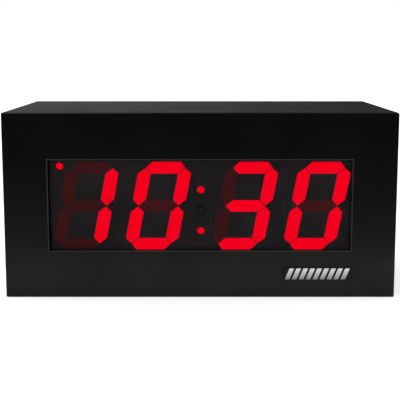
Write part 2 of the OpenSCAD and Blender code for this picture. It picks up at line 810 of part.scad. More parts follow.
module terminal_screws() {
    color([0.75, 0.75, 0.73]) at_terminals() difference() {
        rod(0, terminal_screw_sink, 0, terminal_screw_r, terminal_screw_h);
        block(0, 0, 0, 2 * terminal_screw_r + cut, terminal_screw_sink + slot_t, slot_t);
    }
}

// ---------------------------------------------------------------- sounder

module sounder() {
    plate_y = cover_in_y - sounder_plate_t;
    color([0.04, 0.04, 0.04]) difference() {
        union() {
            rod(sounder_x, plate_y - sounder_h, sounder_z, sounder_r, sounder_h);
            rod(sounder_x, plate_y, sounder_z, sounder_r, sounder_plate_t);
            block(sounder_x, plate_y, sounder_z, 2 * sounder_ear_r, sounder_plate_t, 2 * sounder_ear);
            for (s = [-1, 1])
                rod(sounder_x, plate_y, sounder_z + s * sounder_ear, sounder_ear_r, sounder_plate_t);
        }
        rod(sounder_x, plate_y, sounder_z, sounder_chamber_r, sounder_plate_t + cut);
        for (s = [-1, 1])
            rod(sounder_x, plate_y - cut, sounder_z + s * sounder_ear, hole_r, sounder_plate_t + 2 * cut);
    }
}

module sounder_screws() {
    color([0.75, 0.75, 0.73]) for (s = [-1, 1])
        pan_screw(sounder_x, cover_out_y, sounder_z + s * sounder_ear, 1,
            sheet_t + sounder_plate_t + nut_h + thread_end);
}

module sounder_nuts() {
    color([0.75, 0.75, 0.72]) for (s = [-1, 1])
        hex_sleeve(sounder_x, cover_in_y - sounder_plate_t - nut_h, sounder_z + s * sounder_ear,
            hex_af, nut_h, thread_r);
}

// ---------------------------------------------------------------- push buttons

function button_place(i) = button_x + (i - 1.5) * button_pitch;

module button_switches() {
    color([0.12, 0.12, 0.12]) for (i = [0:3]) difference() {
        block(button_place(i), main_back_y, button_z, switch_w, switch_h, switch_w);
        rod(button_place(i), main_back_y + switch_h - switch_bore_depth, button_z,
            stem_r + stem_clear, switch_bore_depth + cut);
    }
}

// A cap with a stop flange inside the cover and a stem that enters its switch.
module push_button(i) {
    stem_y = main_back_y + switch_h - stem_in;
    flange_y = cover_in_y - button_flange_t - eps;
    color([0.3, 0.3, 0.31]) {
        rod(button_place(i), stem_y, button_z, stem_r, flange_y - stem_y);
        rod(button_place(i), flange_y, button_z, button_flange_r, button_flange_t);
        rod(button_place(i), flange_y + button_flange_t, button_z, button_r,
            cover_out_y + button_proud - button_chamfer - flange_y - button_flange_t);
        translate([button_place(i), cover_out_y + button_proud - button_chamfer, button_z])
            rotate([-90, 0, 0]) cylinder(r1 = button_r, r2 = button_r - button_chamfer, h = button_chamfer);
    }
}

// ---------------------------------------------------------------- battery drawer

module battery_sleeve() {
    end_y = tray_end_y - sleeve_end_gap;
    inner_w = tray_w + 2 * tray_clear;
    inner_h = tray_h + 2 * tray_clear;
    outer = 2 * sleeve_wall;
    flange = 2 * (sleeve_wall + sleeve_flange);
    color([0.08, 0.08, 0.08]) difference() {
        union() {
            block(drawer_x, end_y - sleeve_wall, drawer_z, inner_w + outer,
                cover_in_y - end_y + sleeve_wall, inner_h + outer);
            block(drawer_x, cover_in_y - sleeve_wall, drawer_z, inner_w + flange, sleeve_wall,
                inner_h + flange);
        }
        block(drawer_x, end_y, drawer_z, inner_w, cover_in_y - end_y + cut, inner_h);
    }
}

module battery_pins() {
    color([0.8, 0.8, 0.75]) for (s = [-1, 1])
        rod(drawer_x + s * battery_pin_half, tray_end_y - sleeve_end_gap - sleeve_wall - battery_pin_len,
            drawer_z, battery_pin_r, battery_pin_len);
}

module battery_tray() {
    floor_z = drawer_z - tray_h / 2;
    face_y = cover_out_y + eps;
    color([0.12, 0.12, 0.12]) difference() {
        union() {
            block(drawer_x, tray_end_y, drawer_z, tray_w, face_y - tray_end_y, tray_h);
            block(drawer_x, face_y, drawer_z, tray_w + 2 * tray_face_lap, tray_face_t,
                tray_h + 2 * tray_face_lap);
            block(drawer_x, face_y + tray_face_t, drawer_z + grip_size.z,
                grip_size.x, grip_size.y, grip_size.z);
        }
        translate([drawer_x, pocket_y, floor_z + tray_floor]) cylinder(r = pocket_r, h = tray_h);
        translate([drawer_x, pocket_y, floor_z - cut]) cylinder(r = pocket_window_r, h = tray_h);
    }
}

module coin_cell() {
    color([0.8, 0.8, 0.8]) translate([drawer_x, pocket_y, drawer_z - tray_h / 2 + tray_floor]) {
        cylinder(r = coin_r - cell_step, h = cell_step_h);
        translate([0, 0, cell_step_h]) cylinder(r = coin_r, h = coin_t - cell_step_h);
    }
}

// ---------------------------------------------------------------- nodes

front_case();
cover_brackets();
clinch_nuts();
board_studs();
window_trim();
lens();
lens_gasket();
badge_plate();
badge_bars();
for (place = [0:3]) {
    digit_housing(place);
    lit_segments(place);
    dark_segments(place);
}
digit_pins();
colon_holder();
colon_lamps();
indicator_lamp();
infrared_receiver();
display_board();
board_spacers();
display_nuts();
segment_drivers();
display_header();
ribbon_cable();
main_header();
rear_cover();
cover_screws();
cable_grommet();
standoffs();
standoff_screws();
main_board();
main_board_screws();
controller_chip();
clock_crystal();
capacitors();
voltage_regulator();
heat_sink();
terminal_block();
terminal_screws();
sounder();
sounder_screws();
sounder_nuts();
button_switches();
for (i = [0:3]) push_button(i);
battery_sleeve();
battery_pins();
battery_tray();
coin_cell();
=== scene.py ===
import json
import math

import bmesh
import bpy
from mathutils import Matrix, Vector


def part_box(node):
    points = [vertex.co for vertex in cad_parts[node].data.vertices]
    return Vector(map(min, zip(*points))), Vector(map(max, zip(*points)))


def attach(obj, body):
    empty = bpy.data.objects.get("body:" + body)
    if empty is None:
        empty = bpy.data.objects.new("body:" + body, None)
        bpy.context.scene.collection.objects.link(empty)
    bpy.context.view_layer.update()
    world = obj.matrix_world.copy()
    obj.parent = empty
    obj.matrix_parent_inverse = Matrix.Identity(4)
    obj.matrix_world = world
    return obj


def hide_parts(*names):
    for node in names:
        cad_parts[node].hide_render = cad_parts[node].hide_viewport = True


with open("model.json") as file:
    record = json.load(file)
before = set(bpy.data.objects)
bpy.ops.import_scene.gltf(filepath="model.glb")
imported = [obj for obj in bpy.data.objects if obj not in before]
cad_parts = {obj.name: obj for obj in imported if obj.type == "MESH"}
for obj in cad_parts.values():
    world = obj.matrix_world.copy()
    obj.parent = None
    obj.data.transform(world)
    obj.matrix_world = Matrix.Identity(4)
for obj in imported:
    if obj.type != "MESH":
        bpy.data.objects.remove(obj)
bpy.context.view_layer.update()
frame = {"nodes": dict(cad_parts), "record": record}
NODES = frame["nodes"]
MM = 0.001

# ------------------------------------------------------------------ camera

CASE_LOW, CASE_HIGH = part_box("front_case")
FRONT_Y = CASE_LOW.y
EYE_DISTANCE = 0.446  # from the eye to the front face
EYE_ABOVE = 0.0446  # from the case's top edge up to the eye
EYE_PITCH = math.radians(6)
LENS = 58.0
LENS_SHIFT = -0.21


def make_camera():
    """Looks down a little at the front; the shift takes up the rest of the tilt."""
    data = bpy.data.cameras.new("camera")
    data.sensor_fit = "HORIZONTAL"
    data.sensor_width = 36
    data.lens = LENS
    data.shift_y = LENS_SHIFT
    data.clip_start = 0.01
    data.clip_end = 50
    camera = bpy.data.objects.new("camera", data)
    camera.location = (0, FRONT_Y - EYE_DISTANCE, CASE_HIGH.z + EYE_ABOVE)
    camera.rotation_euler = (math.radians(90) - EYE_PITCH, 0, 0)
    bpy.context.scene.collection.objects.link(camera)
    bpy.context.scene.camera = camera


make_camera()


# ------------------------------------------------------------------ shader helpers

NOISE_RANGE = (0.3, 0.7)  # nearly all values of a noise texture lie in it
TONE_PATCH = 25 * MM
GRAIN_DEPTH = 0.05 * MM


def new_material(name, color, roughness=0.5, **sockets):
    """A material with one Principled shader; other sockets are named with underscores for spaces."""
    mat = bpy.data.materials.new(name)
    mat.use_nodes = True
    shader = mat.node_tree.nodes["Principled BSDF"]
    shader.inputs["Base Color"].default_value = (*color, 1)
    shader.inputs["Roughness"].default_value = roughness
    for socket, value in sockets.items():
        shader.inputs[socket.replace("_", " ")].default_value = value
    return mat


def add_node(mat, kind, **settings):
    """A new node; each setting goes to the input of that name, or else to the node's property."""
    node = mat.node_tree.nodes.new(kind)
    for key, value in settings.items():
        if key in node.inputs:
            node.inputs[key].default_value = value
        else:
            setattr(node, key, value)
    return node


def link(mat, source, target):
    mat.node_tree.links.new(source, target)


def shader_of(mat):
    return mat.node_tree.nodes["Principled BSDF"]


def coordinates(mat, stretch=(1, 1, 1)):
    """Object coordinates, which are the frame's metres, stretched along the axes."""
    place = add_node(mat, "ShaderNodeTexCoord")
    mapping = add_node(mat, "ShaderNodeMapping")
    mapping.inputs["Scale"].default_value = stretch
    link(mat, place.outputs["Object"], mapping.inputs["Vector"])
    return mapping.outputs["Vector"]


def noise(mat, vector, scale, detail=3, roughness=0.5):
    node = add_node(mat, "ShaderNodeTexNoise", Scale=scale, Detail=detail, Roughness=roughness)
    link(mat, vector, node.inputs["Vector"])
    return node.outputs["Fac"]


def spread(mat, value, low, high, source=NOISE_RANGE):
    """Maps a value from its source range to a range of numbers."""
    node = add_node(mat, "ShaderNodeMapRange")
    for socket, number in zip(("From Min", "From Max", "To Min", "To Max"), (*source, low, high)):
        node.inputs[socket].default_value = number
    link(mat, value, node.inputs["Value"])
    return node.outputs["Result"]


def blend_colors(mat, factor, first, second):
    node = add_node(mat, "ShaderNodeMix", data_type="RGBA")
    node.inputs[6].default_value = (*first, 1)
    node.inputs[7].default_value = (*second, 1)
    link(mat, factor, node.inputs[0])
    return node.outputs[2]


def set_color(mat, factor, first, second):
    """Drives the base colour between two colours."""
    link(mat, blend_colors(mat, factor, first, second), shader_of(mat).inputs["Base Color"])


def set_roughness(mat, value, low, high, source=NOISE_RANGE):
    """Drives the roughness between two numbers."""
    link(mat, spread(mat, value, low, high, source), shader_of(mat).inputs["Roughness"])


def scaled(color, factor):
    return tuple(min(1, channel * factor) for channel in color)


def add_bump(mat, height, strength, distance):
    bump = add_node(mat, "ShaderNodeBump", Strength=strength, Distance=distance)
    link(mat, height, bump.inputs["Height"])
    link(mat, bump.outputs["Normal"], shader_of(mat).inputs["Normal"])


def grained(name, color, roughness, grain, bump=0.15, tone=0.15, **sockets):
    """A moulded, coated or cast finish: grain in the surface, and slow changes of tone and gloss."""
    mat = new_material(name, color, roughness, **sockets)
    vector = coordinates(mat)
    fine = noise(mat, vector, 1 / grain, 4, 0.6)
    slow = noise(mat, vector, 1 / TONE_PATCH, 2)
    set_color(mat, spread(mat, slow, 0, 1), scaled(color, 1 - tone), scaled(color, 1 + tone))
    set_roughness(mat, fine, roughness * 0.88, min(1, roughness * 1.12))
    add_bump(mat, fine, bump, GRAIN_DEPTH)
    return mat


# ------------------------------------------------------------------ materials

# Feature sizes of the powder coat: relief, fine relief, mottled tone, and slow changes of tone
PEEL = 0.9 * MM
GRIT = 0.25 * MM
MOTTLE = 1.6 * MM
COAT_PATCH = 1 / 18
# Far darker than real black paint, because the even light here is white all round
CASE_BLACK = (0.0011, 0.0011, 0.0011)
COVER_BLACK = (0.010, 0.010, 0.0104)
TRACK_PITCH = 1.27 * MM
TRACK_BLOCK = 11 * MM  # size of the areas whose tracks run one way
CORE_PITCH = 1.27 * MM
LENS_FILM = 0.1  # share of the lens that is its dark film; the rest is clear
LIT_STRENGTH = 1.31


def powder_coat(name, color, roughness, shine):
    """Fine satin powder coat: orange-peel relief, a fine mottled grain, and slow changes of tone."""
    mat = new_material(name, color, roughness, Specular_IOR_Level=shine)
    vector = coordinates(mat)
    peel = noise(mat, vector, 1 / PEEL, 3, 0.55)
    grit = noise(mat, vector, 1 / GRIT, 2, 0.7)
    mottle = noise(mat, vector, 1 / MOTTLE, 4, 0.7)
    cloud = noise(mat, vector, 1 / COAT_PATCH, 3)
    relief = add_node(mat, "ShaderNodeMath", operation="MULTIPLY_ADD")
    link(mat, grit, relief.inputs[0])
    relief.inputs[1].default_value = 0.4
    link(mat, peel, relief.inputs[2])
    tone = add_node(mat, "ShaderNodeMath", operation="MULTIPLY_ADD")
    link(mat, spread(mat, mottle, 0, 1), tone.inputs[0])
    tone.inputs[1].default_value = 0.6
    link(mat, spread(mat, cloud, 0, 0.4), tone.inputs[2])
    set_color(mat, tone.outputs[0], scaled(color, 0.65), scaled(color, 1.4))
    set_roughness(mat, cloud, roughness - 0.04, roughness + 0.05)
    add_bump(mat, relief.outputs[0], 0.5, 0.06 * MM)
    return mat


def smoked_lens():
    """Thin smoked acrylic: what lies behind shows through unbent, under a faint satin shine."""
    mat = new_material("smoked_lens", (0.004, 0.003, 0.003), 0.12, Specular_IOR_Level=0.05)
    clear = add_node(mat, "ShaderNodeBsdfTransparent")
    clear.inputs["Color"].default_value = (0.95, 0.92, 0.92, 1)
    mix = add_node(mat, "ShaderNodeMixShader")
    mix.inputs["Fac"].default_value = LENS_FILM
    link(mat, clear.outputs[0], mix.inputs[1])
    link(mat, shader_of(mat).outputs[0], mix.inputs[2])
    link(mat, mix.outputs[0], mat.node_tree.nodes["Material Output"].inputs["Surface"])
    fine = noise(mat, coordinates(mat), 1 / (0.6 * MM), 2)
    set_roughness(mat, fine, 0.1, 0.16)
    return mat


def lit_resin():
    """Glowing red resin: even light with slow, slight changes of strength."""
    mat = new_material("lit_resin", (0.05, 0.0, 0.001), 0.6, Specular_IOR_Level=0)
    fine = noise(mat, coordinates(mat), 1 / (4 * MM), 2)
    glow = blend_colors(mat, spread(mat, fine, 0, 1), (0.86, 0.0, 0.011), (0.94, 0.0, 0.015))
    link(mat, glow, shader_of(mat).inputs["Emission Color"])
    shader_of(mat).inputs["Emission Strength"].default_value = LIT_STRENGTH
    return mat


def brushed(name, color, roughness, along=(0.03, 1, 1), grain=0.1 * MM, metallic=1.0):
    """Brushed metal: fine scratches drawn out along one axis."""
    mat = new_material(name, color, roughness, Metallic=metallic)
    streak = noise(mat, coordinates(mat, along), 1 / grain, 3, 0.6)
    set_color(mat, spread(mat, streak, 0, 1), scaled(color, 0.82), scaled(color, 1.1))
    set_roughness(mat, streak, roughness * 0.8, roughness * 1.2)
    add_bump(mat, streak, 0.2, 0.02 * MM)
    return mat


def bands(mat, vector, axis, pitch):
    """Soft parallel bands across one axis. A wave texture of scale 1 repeats every pi / 10."""
    wave = add_node(mat, "ShaderNodeTexWave", bands_direction=axis, Scale=math.pi / 10 / pitch)
    link(mat, vector, wave.inputs["Vector"])
    return wave.outputs["Fac"]


def circuit_board():
    """Green solder mask over copper: raised tracks in blocks that run across or up the board."""
    mat = new_material("board_green", (0.01, 0.07, 0.03), 0.3)
    vector = coordinates(mat, (1, 0.02, 1))
    blocks = add_node(mat, "ShaderNodeTexVoronoi", distance="CHEBYCHEV", Scale=1 / TRACK_BLOCK)
    link(mat, vector, blocks.inputs["Vector"])
    turned = add_node(mat, "ShaderNodeMix", data_type="FLOAT")
    link(mat, spread(mat, blocks.outputs["Color"], 0, 1, (0.49, 0.51)), turned.inputs[0])
    link(mat, bands(mat, vector, "X", TRACK_PITCH), turned.inputs[2])
    link(mat, bands(mat, vector, "Z", TRACK_PITCH), turned.inputs[3])
    track = spread(mat, turned.outputs[0], 0, 1, (0.6, 0.8))
    cloud = noise(mat, vector, 60, 2)
    set_color(mat, track, (0.008, 0.06, 0.025), (0.02, 0.11, 0.045))
    set_roughness(mat, cloud, 0.26, 0.38)
    add_bump(mat, track, 0.4, 0.03 * MM)
    return mat


def ribbon_cores():
    """Grey flat cable: rounded cores side by side, with painted shade darkening the webs between them."""
    mat = new_material("ribbon_grey", (0.3, 0.3, 0.32), 0.5)
    cores = bands(mat, coordinates(mat), "X", CORE_PITCH)
    # Painted shade: the colour darkens in the grooves between the cores, where shade falls
    set_color(mat, cores, (0.16, 0.16, 0.17), (0.34, 0.34, 0.36))
    set_roughness(mat, cores, 0.6, 0.42, (0, 1))
    add_bump(mat, cores, 0.8, 0.2 * MM)
    return mat


def badge_silver():
    """Satin silver paint on the badge's bars with a fine brushed grain, and a painted highlight: paler at
    the top and darker at the bottom, as light from above falls on them.
    """
    mat = new_material("badge_silver", (0.3, 0.3, 0.3), 0.4, Metallic=0.25)
    low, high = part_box("badge_bars")
    parts = add_node(mat, "ShaderNodeSeparateXYZ")
    link(mat, coordinates(mat), parts.inputs[0])
    # Painted light: the colour runs from dark at the bars' foot to pale at their top, as if lit from above
    shade = spread(mat, parts.outputs["Z"], 0, 1, (low.z, high.z))
    set_color(mat, shade, (0.27, 0.27, 0.27), (0.86, 0.86, 0.86))
    streak = noise(mat, coordinates(mat, (0.05, 1, 1)), 1 / (0.15 * MM), 3)
    set_roughness(mat, streak, 0.33, 0.47)
    add_bump(mat, streak, 0.15, 0.02 * MM)
    return mat


def make_materials():
    """One material for each material slot of the record."""
    quiet = {"Specular_IOR_Level": 0.05}  # little shine, for what lies behind the lens
    return {
        "case_black": powder_coat("case_black", CASE_BLACK, 0.5, 0.35),
        "cover_black": powder_coat("cover_black", COVER_BLACK, 0.5, 0.35),
        "trim_grey": grained("trim_grey", (0.026, 0.026, 0.0263), 0.45, 0.5 * MM, Specular_IOR_Level=0.15),
        "lens_smoke": smoked_lens(),
        "gasket_foam": grained("gasket_foam", (0.01, 0.01, 0.01), 0.9, 0.8 * MM, 0.5),
        "badge_silver": badge_silver(),
        "badge_ink": grained("badge_ink", (0.015, 0.015, 0.015), 0.45, 0.4 * MM, 0.1,
                             Specular_IOR_Level=0.08),
        "digit_black": grained("digit_black", (0.0195, 0.0202, 0.0204), 0.75, 0.5 * MM, 0.12, **quiet),
        "segment_lit": lit_resin(),
        "segment_dark": grained("segment_dark", (0.068, 0.0115, 0.0128), 0.7, 2.5 * MM, 0.1, **quiet),
        "sensor_black": grained("sensor_black", (0.0190, 0.0188, 0.0196), 0.5, 1 * MM, 0.05, **quiet),
        "board_green": circuit_board(),
        "chip_black": grained("chip_black", (0.02, 0.02, 0.02), 0.55, 0.3 * MM, 0.3),
        "header_black": grained("header_black", (0.02, 0.02, 0.02), 0.5, 0.6 * MM),
        "ribbon_grey": ribbon_cores(),
        "tin_plate": brushed("tin_plate", (0.72, 0.72, 0.7), 0.3),
        "zinc_steel": brushed("zinc_steel", (0.55, 0.55, 0.53), 0.38, (1, 1, 1), 0.3 * MM),
        "copper_steel": brushed("copper_steel", (0.6, 0.33, 0.2), 0.35, (1, 1, 1), 0.3 * MM),
        "brass": brushed("brass", (0.65, 0.45, 0.16), 0.3, (1, 0.05, 1)),
        "nylon_white": grained("nylon_white", (0.7, 0.7, 0.66), 0.45, 0.8 * MM),
        "can_blue": grained("can_blue", (0.02, 0.03, 0.1), 0.35, 2 * MM),
        "crystal_can": brushed("crystal_can", (0.65, 0.65, 0.63), 0.25),
        "heat_sink": brushed("heat_sink", (0.5, 0.5, 0.52), 0.4, (1, 0.03, 1)),
        "terminal_green": grained("terminal_green", (0.02, 0.16, 0.06), 0.45, 0.6 * MM),
        "sounder_black": grained("sounder_black", (0.015, 0.015, 0.015), 0.5, 0.6 * MM),
        "grommet_rubber": grained("grommet_rubber", (0.014, 0.014, 0.014), 0.68, 0.6 * MM, 0.3),
        "button_grey": grained("button_grey", (0.16, 0.16, 0.165), 0.42, 0.5 * MM, 0.2),
        "tray_black": grained("tray_black", (0.035, 0.035, 0.036), 0.5, 0.5 * MM, 0.25),
        "cell_steel": brushed("cell_steel", (0.68, 0.68, 0.66), 0.28),
    }


MATERIALS = make_materials()


def set_material(piece, mat):
    piece.data.materials.clear()
    piece.data.materials.append(mat)


def dress_nodes():
    """Gives every CAD node its slot's material."""
    for part in frame["record"]["subparts"]:
        set_material(NODES[part["node"]], MATERIALS[part["material_slot"]])


dress_nodes()


# ------------------------------------------------------------------ broken edges

WELD_REACH = 0.002 * MM  # CAD faces come with their own copies of shared corners
SHARP_EDGE = math.radians(50)


def soften(node, width):
    """Joins a node's faces and breaks its sharp edges, as paint, moulding or deburring does."""
    piece = NODES[node]
    weld = piece.modifiers.new("weld", "WELD")
    weld.merge_threshold = WELD_REACH
    bevel = piece.modifiers.new("bevel", "BEVEL")
    bevel.width = width
    bevel.segments = 2
    bevel.limit_method = "ANGLE"
    bevel.angle_limit = SHARP_EDGE
    bevel.harden_normals = True


# Width of the broken edges, and the nodes that have them
EDGE_WIDTHS = {
    0.12 * MM: ["badge_bars"],
    0.15 * MM: ["window_trim", "heat_sink"],
    0.2 * MM: ["lens", "cover_brackets", "terminal_block", "display_header", "main_header",
               "controller_chip", "segment_drivers", "voltage_regulator", "button_switches"],
    0.25 * MM: ["badge_plate"],
    0.3 * MM: ["battery_tray", "battery_sleeve"],
    0.35 * MM: ["front_case"],
    0.4 * MM: ["sounder", "capacitors"],
}
for width, names in EDGE_WIDTHS.items():
    for name in names:
        soften(name, width)


# ------------------------------------------------------------------ mesh helpers

def solids(node):
    """Lowest and highest corner of each separate solid in a node."""
    bm = bmesh.new()
    bm.from_mesh(NODES[node].data)
    bmesh.ops.remove_doubles(bm, verts=bm.verts, dist=WELD_REACH)
    boxes, waiting = [], set(bm.verts)
    while waiting:
        group, front = [], [waiting.pop()]
        while front:
            vert = front.pop()
            group.append(vert.co.copy())
            near = {edge.other_vert(vert) for edge in vert.link_edges} & waiting
            waiting -= near
            front.extend(near)
        low = Vector(min(co[axis] for co in group) for axis in range(3))
        high = Vector(max(co[axis] for co in group) for axis in range(3))
        boxes.append((low, high))
    bm.free()
    return sorted(boxes, key=lambda box: tuple(round(c, 5) for c in box[0]))


def rounded(points, steps=4):
    """A profile whose corners (radius, height, fillet) are rounded by their fillets."""
    out = []
    for index, (radius, height, fillet) in enumerate(points):
        corner = Vector((radius, height))
        if fillet == 0 or index in (0, len(points) - 1):
            out.append(corner)
            continue
        before = Vector(points[index - 1][:2]) - corner
        after = Vector(points[index + 1][:2]) - corner
        start = corner + before.normalized() * min(fillet, before.length * 0.49)
        end = corner + after.normalized() * min(fillet, after.length * 0.49)
        for step in range(steps + 1):
            t = step / steps
            out.append(start * (1 - t) ** 2 + corner * 2 * t * (1 - t) + end * t ** 2)
    return out


def lathe(profile, steps=48, closed=False):
    """A solid turned about the Y axis from a profile of (radius, height along Y)."""
    bm = bmesh.new()
    rings = []
    for radius, height in profile:
        if radius < 0.001 * MM:
            rings.append([bm.verts.new((0, height, 0))])
            continue
        angles = [2 * math.pi * step / steps for step in range(steps)]
        rings.append([bm.verts.new((radius * math.cos(a), height, radius * math.sin(a))) for a in angles])
    following = rings[1:] + rings[:1] if closed else rings[1:]
    for first, second in zip(rings, following):
        for step in range(steps):
            after = (step + 1) % steps
            corners = [first[step % len(first)], first[after % len(first)],
                       second[after % len(second)], second[step % len(second)]]
            corners = list(dict.fromkeys(corners))
            if len(corners) > 2:
                bm.faces.new(corners)
    bmesh.ops.recalc_face_normals(bm, faces=bm.faces)
    return bm


def prism(outline, y_from, y_to, taper=1.0):
    """An outline in the XZ plane drawn out along Y; taper scales its far end."""
    bm = bmesh.new()
    near = [bm.verts.new((x, y_from, z)) for x, z in outline]
    far = [bm.verts.new((x * taper, y_to, z * taper)) for x, z in outline]
    bm.faces.new(near)
    bm.faces.new(reversed(far))
    for index in range(len(outline)):
        after = (index + 1) % len(outline)
        bm.faces.new([near[index], near[after], far[after], far[index]])
    bmesh.ops.recalc_face_normals(bm, faces=bm.faces)
    return bm


def to_mesh(bm, name):
    mesh = bpy.data.meshes.new(name)
    bm.to_mesh(mesh)
    bm.free()
    return mesh


def subtract(body, cutter):
    """The mesh that is left when the cutter is taken from the body."""
    parts = (("cut_body", body), ("cutter", cutter))
    objects = [bpy.data.objects.new(name, to_mesh(bm, name)) for name, bm in parts]
    for piece in objects:
        bpy.context.scene.collection.objects.link(piece)
    boolean = objects[0].modifiers.new("cut", "BOOLEAN")
    boolean.object = objects[1]
    boolean.solver = "EXACT"
    graph = bpy.context.evaluated_depsgraph_get()
    mesh = bpy.data.meshes.new_from_object(objects[0].evaluated_get(graph))
    for piece in objects:
        bpy.data.objects.remove(piece)
    return mesh


def gather(meshes_and_places):
    """One bmesh of several meshes, each moved by its own matrix."""
    bm = bmesh.new()
    for mesh, matrix in meshes_and_places:
        start = len(bm.verts)
        bm.from_mesh(mesh)
        bm.verts.ensure_lookup_table()
        bmesh.ops.transform(bm, matrix=matrix, verts=bm.verts[start:])
    return bm


SMOOTH_BELOW = math.radians(35)


def add_piece(name, bm, body, slot, replaced=(), material=None):
    """Links a piece, shades it, parents it to its body's empty, gives it its slot's material or the given
    one, and hides the nodes it stands for.
    """
    bmesh.ops.recalc_face_normals(bm, faces=bm.faces)
    mesh = to_mesh(bm, name)
    mesh.shade_smooth()
    mesh.set_sharp_from_angle(angle=SMOOTH_BELOW)
    piece = bpy.data.objects.new(name, mesh)
    bpy.context.scene.collection.objects.link(piece)
    set_material(piece, material or MATERIALS[slot])
    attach(piece, body)
    if replaced:
        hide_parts(*replaced)


# ------------------------------------------------------------------ screws

HEAD_R = 2.8 * MM
HEAD_H = 2.0 * MM
SHANK_R = 1.5 * MM
THREAD_PITCH = 0.5 * MM
THREAD_DEPTH = 0.12 * MM
RECESS_REACH = 1.65 * MM
RECESS_HALF = 0.4 * MM
RECESS_DEPTH = 1.15 * MM
RECESS_TAPER = 0.62
TIP_LENGTH = 0.3 * MM
TIP_INSET = 0.4 * MM


def screw_profile(length):
    """Pan head above zero, threaded shank of the given length below it."""
    profile = rounded([
        (0, HEAD_H, 0), (HEAD_R * 0.45, HEAD_H * 0.985, 0), (HEAD_R * 0.82, HEAD_H * 0.86, 0.4 * MM),
        (HEAD_R, HEAD_H * 0.45, 0.5 * MM), (HEAD_R, 0, 0.15 * MM), (SHANK_R, 0, 0),
    ])
    turns = int(length / THREAD_PITCH) - 1
    for turn in range(turns):
        height = -(turn + 0.5) * THREAD_PITCH
        profile.append(Vector((SHANK_R, height)))
        profile.append(Vector((SHANK_R - THREAD_DEPTH, height - THREAD_PITCH / 2)))
    profile.append(Vector((SHANK_R - THREAD_DEPTH, -length + TIP_LENGTH)))
    profile.append(Vector((SHANK_R - TIP_INSET, -length)))
    profile.append(Vector((0, -length)))
    return profile


def cross_outline(reach, half):
    """The twelve corners of a plus sign."""
    quarter = [(half, reach), (half, half), (reach, half)]
    outline = []
    for turn in range(4):
        angle = -turn * math.pi / 2
        cos, sin = round(math.cos(angle)), round(math.sin(angle))
        outline += [(x * cos - z * sin, x * sin + z * cos) for x, z in quarter]
    return outline


def screw_mesh(length):
    recess = cross_outline(RECESS_REACH, RECESS_HALF)
    cutter = prism(recess, HEAD_H + 0.5 * MM, HEAD_H - RECESS_DEPTH, RECESS_TAPER)
    return subtract(lathe(screw_profile(length), 40), cutter)


def make_screws(node, seat_y, facing=1):
    """Pan-head screws with cross recesses; their heads face +Y or, with facing=-1, the front."""
    boxes = solids(node)
    low, high = boxes[0]
    length = seat_y - low.y if facing > 0 else high.y - seat_y
    mesh = screw_mesh(length)
    places = []
    for index, (low, high) in enumerate(boxes):
        centre = Vector(((low.x + high.x) / 2, seat_y, (low.z + high.z) / 2))
        twist = Matrix.Rotation(math.radians(17 + 41 * index), 4, "Y")  # each cross lies at its own angle
        turn = Matrix.Rotation(0 if facing > 0 else math.pi, 4, "X")
        places.append((mesh, Matrix.Translation(centre) @ turn @ twist))
    add_piece(node + "_detailed", gather(places), "timer", "zinc_steel", [node])


COVER_IN, COVER_OUT = (corner.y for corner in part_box("rear_cover"))
make_screws("cover_screws", COVER_OUT)
make_screws("standoff_screws", COVER_OUT)
make_screws("sounder_screws", COVER_OUT)
make_screws("main_board_screws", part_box("main_board")[0].y, -1)


# ------------------------------------------------------------------ rubber grommet

GROMMET_BORE_R = 8 * MM
GROMMET_GROOVE = 2 * MM


def make_grommet():
    """A rubber ring with rounded lips on both sides of the cover and a slight groove in its bore."""
    low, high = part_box("cable_grommet")
    centre = (low + high) / 2
    rim = (high.x - low.x) / 2
    neck = rim - GROMMET_GROOVE
    bore = GROMMET_BORE_R
    half = (high.y - low.y) / 2
    groove = (COVER_OUT - COVER_IN) / 2
    side = [(bore + 0.7 * MM, half, 0.4 * MM), (rim - 2.2 * MM, half, 0.8 * MM),
            (rim, half - 1.3 * MM, 0.9 * MM), (rim, groove, 0.25 * MM), (neck, groove, 0.2 * MM)]
    mirrored = [(radius, -height, fillet) for radius, height, fillet in reversed(side)]
    lips = [(bore, -half + 0.7 * MM, 0.5 * MM), (bore, -0.25 * MM, 0.1 * MM),
            (bore + 0.15 * MM, 0, 0.1 * MM), (bore, 0.25 * MM, 0.1 * MM),
            (bore, half - 0.7 * MM, 0.5 * MM)]
    loop = side + mirrored + lips
    padded = [loop[-1]] + loop + [loop[0]]
    profile = rounded(padded)[1:-1]
    bm = lathe(profile, 72, closed=True)
    bmesh.ops.translate(bm, verts=bm.verts, vec=centre)
    add_piece("cable_grommet_detailed", bm, "timer", "grommet_rubber", ["cable_grommet"])


make_grommet()


# ------------------------------------------------------------------ push buttons

CAP_R = 3.5 * MM
FLANGE_R = 4.9 * MM
FLANGE_T = 1.0 * MM
STEM_R = 1.6 * MM
FLANGE_GAP = 0.05 * MM  # between the flange and the cover when the button is out
DISH = 0.35 * MM
DISH_STEPS = 5
DISH_EDGE = 0.03 * MM
BUTTONS = ["button_mode", "button_up", "button_down", "button_start"]


